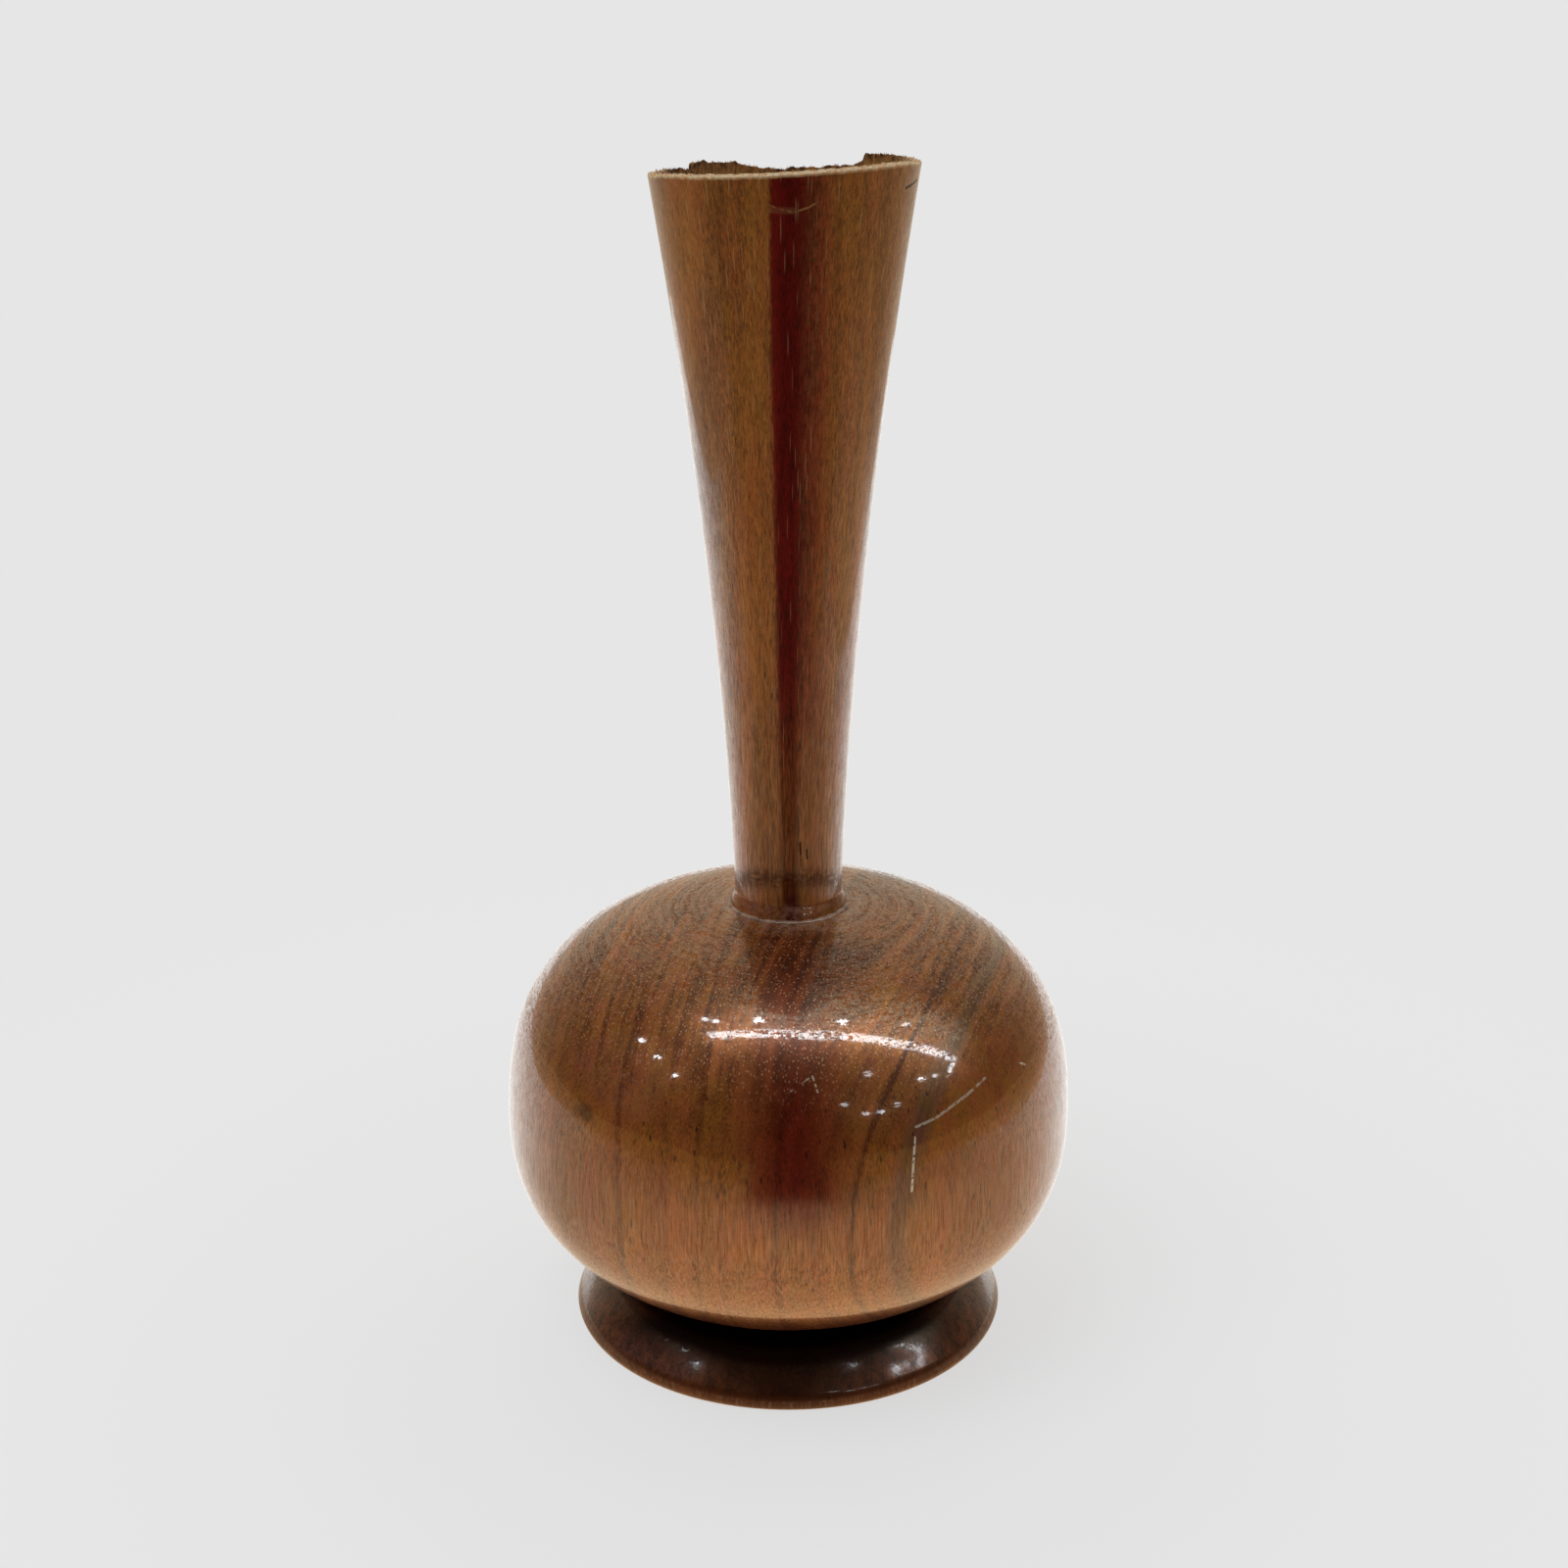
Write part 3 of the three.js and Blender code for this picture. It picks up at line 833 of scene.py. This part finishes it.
def break_height(angle):
    """How far the break lies above the nominal rim, around the neck."""
    chip = np.interp(np.degrees(angle) % 360, *zip(*CHIPPED_BACK), left=0, right=0)
    tilt = 1.15 * np.sin(angle) - 0.4 * (1 - np.cos(angle)) + 0.7 * ease(np.clip(1.6 * np.cos(angle), 0, 1))
    tilt -= 0.35 * np.clip(np.sin(angle), 0, 1) ** 3
    fibres = np.sin(23 * angle + 1.3) + np.sin(41 * angle + 0.7) + np.sin(67 * angle + 2.1)
    return tilt + chip + (0.025 + 0.045 * (0.5 - 0.5 * np.cos(angle))) * fibres


def ease(share):
    return share * share * (3 - 2 * share)


def bundles(angle, across, around, through, seed):
    """Uneven heights of torn bundles of fibres, from -1 to 1, on a grid around and through the wall."""
    heights = np.random.default_rng(seed).uniform(-1, 1, (around, through + 2))
    turn_place = (angle / (2 * math.pi) % 1) * around
    wall_place = np.clip(across, 0, 1) * through
    i, j = turn_place.astype(int) % around, wall_place.astype(int)
    s, t = ease(turn_place % 1), ease(wall_place % 1)
    near = heights[i, j] * (1 - t) + heights[i, j + 1] * t
    i = (i + 1) % around
    far = heights[i, j] * (1 - t) + heights[i, j + 1] * t
    return near * (1 - s) + far * s


def torn_top(angle, across):
    """Height of the torn wood in mm, with across 0 at the outer wall and 1 at the inner one."""
    rough = 0.16 * bundles(angle, across, 150, 2, 11) + 0.12 * bundles(angle, across, 420, 4, 12)
    wild = 0.18 + 0.82 * (0.5 - 0.5 * np.cos(angle)) ** 0.7
    slope = (0.25 + 0.1 * np.cos(angle)) * (1 - across)
    return NOMINAL_RIM + break_height(angle) - slope + rough * (0.4 + 0.6 * across) * wild


def break_rim(angle, radius, height, rows):
    """The rule that tears the rim and leans the neck a hair to the left, as it was glued."""
    across = np.clip((rows - last_outer) / WALL_ROWS, 0, 1)
    top = torn_top(angle, across)
    share = np.clip((height - BREAK_FOOT) / (NOMINAL_RIM - BREAK_FOOT), 0, None)
    moved = share > 0
    height = np.where(moved, BREAK_FOOT + share * (top - BREAK_FOOT), height)
    flare = neck_radius(height) - neck_wall(height) * across
    radius = np.where(moved, flare, radius)
    lean = NECK_LEAN * np.clip((height - GLOBE_TOP) / NECK_HEIGHT, 0, None)
    return radius, height, lean


reshape(neck, break_rim)
neck.data.set_sharp_from_angle(angle=math.radians(38))
print("rim from", round(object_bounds()[1].z / MM, 2), "mm; highest fibre",
      round(places(neck.data)[:, 2].max() / MM, 2), "mm")


# %% [markdown]
# The lacquer covers only the outside. The bore is bare wood, and the break shows torn fibres. Two point
# attributes say so, and the neck's finish reads them.


# %% Where the neck is bare
def keep(name, values):
    """Keeps a value for each point of the neck under a name."""
    layer = neck.data.attributes.new(name, "FLOAT", "POINT")
    layer.data.foreach_set("value", np.asarray(values, np.float32))


rows = point_rows(neck.data)
on_break = (rows >= last_outer) & (rows <= last_outer + WALL_ROWS)
keep("bare", (rows >= last_outer) | (rows < 1))
keep("torn", on_break)
print("points on the break:", int(on_break.sum()))

# %% [markdown]
# Single fibres stand up from the break like the hairs of a brush. They are scattered over the torn faces
# with Geometry Nodes: points at random, a thin cone on each, each turned, tilted and stretched at random.
# The faces that carry them are taken out of a copy of the neck with bmesh.


# %% Torn fibres
def fibres_tree():
    sockets = {"Torn wood": "Geometry", "Per square mm": "Float", "Length": "Float", "Seed": "Int",
               "Finish": "Material"}
    tree, given = new_group("torn_fibres", "Fibres", sockets)
    seed = given.out("Seed")
    roots = tree.add("GeometryNodeDistributePointsOnFaces", None, {
        "Mesh": given.out("Torn wood"),
        "Density": given.out("Per square mm") * 1e6,
        "Seed": seed,
    })
    hair = tree.add("GeometryNodeMeshCone", None, {
        "Vertices": 5,
        "Radius Top": 0.012 * MM,
        "Radius Bottom": 0.075 * MM,
        "Depth": 1 * MM,
    })
    sunk = tree.add("GeometryNodeTransform", inputs={"Geometry": hair, "Translation": (0, 0, -0.2 * MM)})
    turns = {0: (-0.5, -0.5, -3.14), 1: (0.5, 0.5, 3.14), "Seed": seed}
    tilt = tree.add("FunctionNodeRandomValue", {"data_type": "FLOAT_VECTOR"}, turns)
    lengths = {2: 0.3, 3: 1.0, "Seed": seed}
    stretch = tree.add("FunctionNodeRandomValue", {"data_type": "FLOAT"}, lengths, output=1)
    scale = tree.join(1, 1, stretch * given.out("Length"))
    planted = tree.add("GeometryNodeInstanceOnPoints", inputs={
        "Points": roots, "Instance": sunk, "Rotation": tilt, "Scale": scale,
    })
    real = tree.add("GeometryNodeRealizeInstances", inputs={"Geometry": planted})
    real = tree.store("torn", tree.store("bare", real, 1), 1)
    finished = tree.add("GeometryNodeSetMaterial", inputs={"Geometry": real, "Material": given.out("Finish")})
    tree.add("NodeGroupOutput", inputs={"Fibres": finished})
    return tree.tree


def torn_faces():
    """A copy of the neck with only the faces of the break."""
    cut = bmesh.new()
    cut.from_mesh(neck.data)
    torn = cut.verts.layers.float["torn"]
    spare = [face for face in cut.faces if min(vert[torn] for vert in face.verts) < 0.5]
    bmesh.ops.delete(cut, geom=spare, context="FACES")
    mesh = bpy.data.meshes.new("rim_fibres")
    cut.to_mesh(mesh)
    cut.free()
    return mesh


rim_fibres = put("rim_fibres", torn_faces())
run_tree(rim_fibres, fibres_tree(), {"Per square mm": 2.5, "Length": 0.5, "Seed": 5, "Finish": neck_wood})

# %% [markdown]
# ## The glue collar
# When the neck was pressed into its socket, glue came out and set as a flat, lumpy ring. It is turned as
# a plain ring and then made uneven by random lumps around it.

# %% Glue collar
GLUE_INNER = 9.75
GLUE_WIDTH = 0.75
GLUE_HEIGHT = 0.34


def glue_outline():
    outline = [(GLUE_INNER, GLOBE_TOP)]
    for lean in np.linspace(0, math.pi / 2, 13):
        out = 0.12 + (GLUE_WIDTH - 0.12) * abs(math.cos(lean)) ** 1.3
        outline.append((GLUE_INNER + out, GLOBE_TOP + GLUE_HEIGHT * math.sin(lean)))
    return outline + [(GLUE_INNER, GLOBE_TOP + GLUE_HEIGHT), (GLUE_INNER, GLOBE_TOP)]


def lumpy(angle, radius, height, rows):
    """Uneven lumps, and places where hardly any glue came out."""
    lumps = bundles(angle, 0 * angle, 34, 1, 21) + 0.5 * bundles(angle, 0 * angle, 90, 1, 22)
    share = (radius - GLUE_INNER) / GLUE_WIDTH
    return radius + 0.22 * share * lumps, GLOBE_TOP + (height - GLOBE_TOP) * (0.75 + 0.4 * lumps), 0


glue_collar = turn("dried_glue_ring", glue_outline(), dried_glue, steps=200)
reshape(glue_collar, lumpy)

# %% [markdown]
# ## Onto the frame
# Every piece rides on the one body. Four stand for the solids of the same shape, and the fibres are extra.

# %% Ride and replace
for piece, node, finish in [
    (foot, "foot", "foot_wood"),
    (globe, "globe", "globe_wood"),
    (neck, "neck", "neck_wood"),
    (glue_collar, "glue_collar", "dried_glue"),
]:
    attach(piece, "root")
    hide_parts(node)
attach(rim_fibres, "root")

# %% [markdown]
# ## Floor and light
# A glossy dark vase shows mostly what stands around it. The set is a pale table top that ends a hand's
# width in front, walls, a ceiling with one long tube lamp and some spots, and a dark card where the
# camera stands. All but the table top are hidden from the camera, but show in the lacquer.

# %% World
PALE = srgb(230, 230, 230)
BLACK = (0, 0, 0)
DEGREES = 180 / math.pi

scene.view_settings.view_transform = "Standard"
scene.world = bpy.data.worlds.new("pale_room")
scene.world.use_nodes = True
air = Tree(scene.world.node_tree)
air.tree.nodes.clear()
path = air.add("ShaderNodeLightPath", output="Is Camera Ray")
seen = air.most(path, path.out("Is Glossy Ray"), path.out("Is Transmission Ray"))
shown = air.add("ShaderNodeBackground", None, {"Color": PALE, "Strength": 1})
light = air.add("ShaderNodeBackground", None, {"Color": (1, 0.96, 0.9), "Strength": 0.8})
air.add("ShaderNodeOutputWorld", None, {"Surface": air.blend(seen, light, shown)})


# %% Parts of the set
def set_part(name, points, faces, material):
    mesh = bpy.data.meshes.new(name)
    mesh.from_pydata(points, [], faces)
    mesh.materials.append(material)
    made = put(name, mesh)
    return made


# %% [markdown]
# The table top looks pale and plain to the camera and takes the vase's soft shadow. In the lacquer it
# shows warm in front and white behind, so its finish asks which kind of ray meets it. It lies a hair
# below the foot's ring, because two faces in one plane flicker.

# %% Floor
def floor_finish():
    table = Finish("pale_table")
    distance = table.vector("LENGTH", table.mm, output="Value")
    path = table.add("ShaderNodeLightPath", output="Is Camera Ray")
    grow = table.smooth(distance, 70, 230)
    lit = table.add("ShaderNodeBsdfDiffuse", None, {"Color": (0.95, 0.95, 0.95)})
    top = table.blend(0.7 + 0.3 * grow, lit, table.glow(PALE, 1.155 - 0.155 * grow))
    aside = abs(table.bearing()) * DEGREES
    table.colour = table.mix(table.smooth(aside, 20, 75), (1.35, 0.88, 0.47), (0.85, 0.66, 0.46))
    table.paint(table.smooth(aside, 75, 130), (1.25, 1.25, 1.22))
    # It dims towards its front edge, most of all before the dark card.
    dim = table.smooth(distance, 95, 200) * table.smooth(aside, 85, 50)
    table.paint(dim * 0.5, BLACK)
    shaded = table.smooth(distance, 140, 195) * table.smooth(abs(table.x - 8), 75, 25)
    table.paint(shaded * table.smooth(table.y, 0, -100) * 0.85, BLACK)
    top = table.blend(path.out("Is Glossy Ray"), top, table.glow(table.colour))
    # From below, the camera looks through it.
    below = table.add("ShaderNodeNewGeometry", output="Backfacing") * path
    return table.done(table.blend(below, top, table.add("ShaderNodeBsdfTransparent")))


HALF = 12
LEVEL = -0.03 * MM
corners = [(-HALF, -HALF, LEVEL), (HALF, -HALF, LEVEL), (HALF, HALF, LEVEL), (-HALF, HALF, LEVEL)]
set_part("floor", corners, [(0, 1, 2, 3)], floor_finish())

# %% [markdown]
# Around the table top stands a dome that only reflections show. Its colours go by bearing and height:
# the ground round the table, walls that are dark in front and pale behind, a ceiling, a darker patch on
# the left, the dark card in front, and a bright halo round the tube lamp.

# %% Room
ROOM_REACH = 4
TUBE_HEIGHT = 1450


def room_finish():
    room = Finish("room")
    smooth = room.smooth
    bearing = room.bearing() * DEGREES
    aside = abs(bearing)
    rise = room.z * (MM / ROOM_REACH)
    reach = room.from_axis()
    wall = room.mix(smooth(aside, 95, 165), (0.08, 0.045, 0.02), (0.66, 0.57, 0.43))
    ground = room.mix(smooth(aside, 55, 95), (0.5, 0.27, 0.09), (0.75, 0.5, 0.28))
    ground = room.mix(smooth(aside, 100, 165), ground, (1.1, 1.08, 1.02))
    edge = 190 + 200 * smooth(bearing, -45, -75) + 110 * smooth(bearing, 45, 75)
    ground = room.mix(0.6 * smooth(reach - edge, 140, 0), ground, (0.85, 0.54, 0.28))
    ground = room.mix(0.65 * smooth(reach, 370, 560), ground, (0.35, 0.2, 0.05))
    wall = room.mix(smooth(rise, 0.01, 0.001), wall, ground)
    ceiling = room.mix(smooth(aside, 20, 160), (0.34, 0.2, 0.1), (0.46, 0.38, 0.28))
    room.colour = room.mix(smooth(rise, 0.72, 0.97), wall, ceiling)
    patch = room.between(bearing, -108, -100, -62, -52) * room.between(rise, 0.1, 0.2, 0.62, 0.7)
    room.paint(patch, (0.13, 0.1, 0.11))
    left = smooth(bearing, -16, -10)
    dark = left * smooth(bearing, 30, 10) * smooth(rise, 0.8, 0.5)
    low = left * smooth(bearing, 65, 35) * smooth(rise, 0.45, 0.25)
    dark = room.most(dark, 0.8 * low * smooth(rise, 0.002, 0.03))
    cloud = room.noise(room.x / 40, room.y / 40, 0)
    room.paint(dark * smooth(reach + 60 * (cloud - 0.5), 110, 180), (0.002, 0.001, 0.001))
    # The halo is laid out on the plane of the tube lamp, by the place that each direction points to.
    flat = TUBE_HEIGHT / room.most(room.z, 1)
    ahead, side = room.y * flat, room.x * flat
    halo = room.line(ahead, 150, 600) * room.between(side, -600, -100, 1500, 2600)
    room.paint(halo, (1.4, 1.45, 1.1))
    plain = room.glow((1, 1, 1), 0.12 + 0.46 * smooth(aside, 60, 150))
    diffuse = room.add("ShaderNodeLightPath", output="Is Diffuse Ray")
    return room.done(room.blend(diffuse, room.glow(room.colour), plain))


GAP = 2 * MM
TABLE_EDGE = np.array([
    (-0.39, 0.9), (-0.39, -0.03), (-0.25, -0.11), (-0.16, -0.15), (-0.06, -0.19), (0.1, -0.195),
    (0.18, -0.19), (0.285, -0.155), (0.295, -0.05), (0.3, 0.9),
])


def dome():
    """The ground around the table top and a dome over it, as points and faces."""
    points, faces = [], []
    around, up = 64, 16
    for step in range(around):
        angle = 2 * math.pi * step / around
        ahead = np.array([math.sin(angle), -math.cos(angle)])
        points.append((*ahead * table_reach(ahead), GAP))
        for level in range(up):
            rise = math.pi / 2 * level / up
            points.append((*ahead * ROOM_REACH * math.cos(rise), ROOM_REACH * math.sin(rise) + GAP))
    points.append((0, 0, ROOM_REACH))
    rows = up + 1
    for step in range(around):
        here, there = step * rows, (step + 1) % around * rows
        for level in range(up):
            faces.append((here + level, there + level, there + level + 1, here + level + 1))
        faces.append((here + up, there + up, len(points) - 1))
    return points, faces


def table_reach(ahead):
    """How far the table top goes from the vase in a direction."""
    side = np.array([-ahead[1], ahead[0]])
    best = 0.9
    for start, end in zip(TABLE_EDGE[:-1], TABLE_EDGE[1:]):
        across = np.dot(end - start, side)
        if abs(across) > 1e-9:
            share = -np.dot(start, side) / across
            reach = np.dot(start + (end - start) * share, ahead)
            if 0 <= share <= 1 and reach > 0:
                best = min(best, reach)
    return best


room = set_part("room", *dome(), room_finish())
room.visible_camera = False
room.visible_shadow = False

# %% [markdown]
# The mirrored lamps make the highlights: one tube with a bent end, and small spots. They light nothing
# else, and go out after the second bounce, so that the globe doesn't show the highlights of the neck.
# One broad day lamp lights the wood and the table and isn't mirrored.

# %% Lamps
AIM = 0.05
SPOT_DISTANCE = 1.4
LAST_BOUNCE = 2.5


def toward(azimuth, elevation, distance):
    """A place seen from the globe, by angles in degrees from the front to the right, and up."""
    a, e = math.radians(azimuth), math.radians(elevation)
    reach = distance * math.cos(e)
    return reach * math.sin(a), -reach * math.cos(a), AIM + distance * math.sin(e)


def lamp(name, azimuth, elevation, distance, size, strength, length=None, mirrored=True):
    """A lamp that faces the globe. Its strength is how bright it looks, where white is 1."""
    data = bpy.data.lights.new(name, "AREA")
    data.shape = "RECTANGLE" if length else "DISK"
    data.size, data.size_y = length or size, size
    area = length * size if length else math.pi * size * size / 4
    data.energy = strength * area * math.pi
    data.color = (0.95, 1, 1.05)
    if mirrored:
        data.use_nodes = True
        look = Tree(data.node_tree)
        look.tree.nodes.clear()
        bounce = look.add("ShaderNodeLightPath", output="Ray Depth")
        lit = look.math("LESS_THAN", bounce, LAST_BOUNCE)
        shader = look.add("ShaderNodeEmission", None, {"Strength": lit})
        look.add("ShaderNodeOutputLight", None, {"Surface": shader})
    made = put(name, data)
    made.location = toward(azimuth, elevation, distance)
    away = made.location.copy()
    away.z -= AIM
    made.rotation_mode = "QUATERNION"
    made.rotation_quaternion = away.to_track_quat("Z", "Y")
    made.visible_camera = False
    made.visible_diffuse = not mirrored
    made.visible_glossy = mirrored
    return made


def lay(tube, place, turned):
    """Lays a tube lamp level under the ceiling, turned by degrees about the vertical."""
    half = math.radians(turned / 2)
    tube.location = place
    tube.rotation_quaternion = (math.cos(half), 0, 0, math.sin(half))


lamp("day_lamp", -50, 62, 2, 1.4, 2.0, mirrored=False)
lay(lamp("tube_lamp", 0, 89, 1.5, 0.14, 13, length=3.0), (0.86, -0.25, 1.5), -2)
lay(lamp("tube_end", 0, 89, 1.5, 0.14, 13, length=0.5), (2.52, -0.5, 1.5), -50)
SPOTS = [
    (-99, 67.6, 0.05, 22), (-95, 70.3, 0.05, 22), (-94, 82.5, 0.085, 40), (90, 75.9, 0.075, 40),
    (94, 56.6, 0.06, 14), (43.4, 47.3, 0.08, 12), (63.7, 32.8, 0.06, 30), (70.1, 31, 0.05, 14),
    (24.9, 32.1, 0.07, 9), (33.1, 24, 0.07, 10), (39.4, 23.1, 0.07, 9), (46.6, 24.5, 0.06, 10),
    (-87.3, 44.7, 0.05, 35), (-72.8, 43.5, 0.05, 35), (-57.4, 39.7, 0.05, 35),
]
for number, (azimuth, elevation, size, strength) in enumerate(SPOTS):
    lamp(f"spot_lamp_{number}", azimuth, elevation, SPOT_DISTANCE, size, strength)
print("lamps:", len(bpy.data.lights))
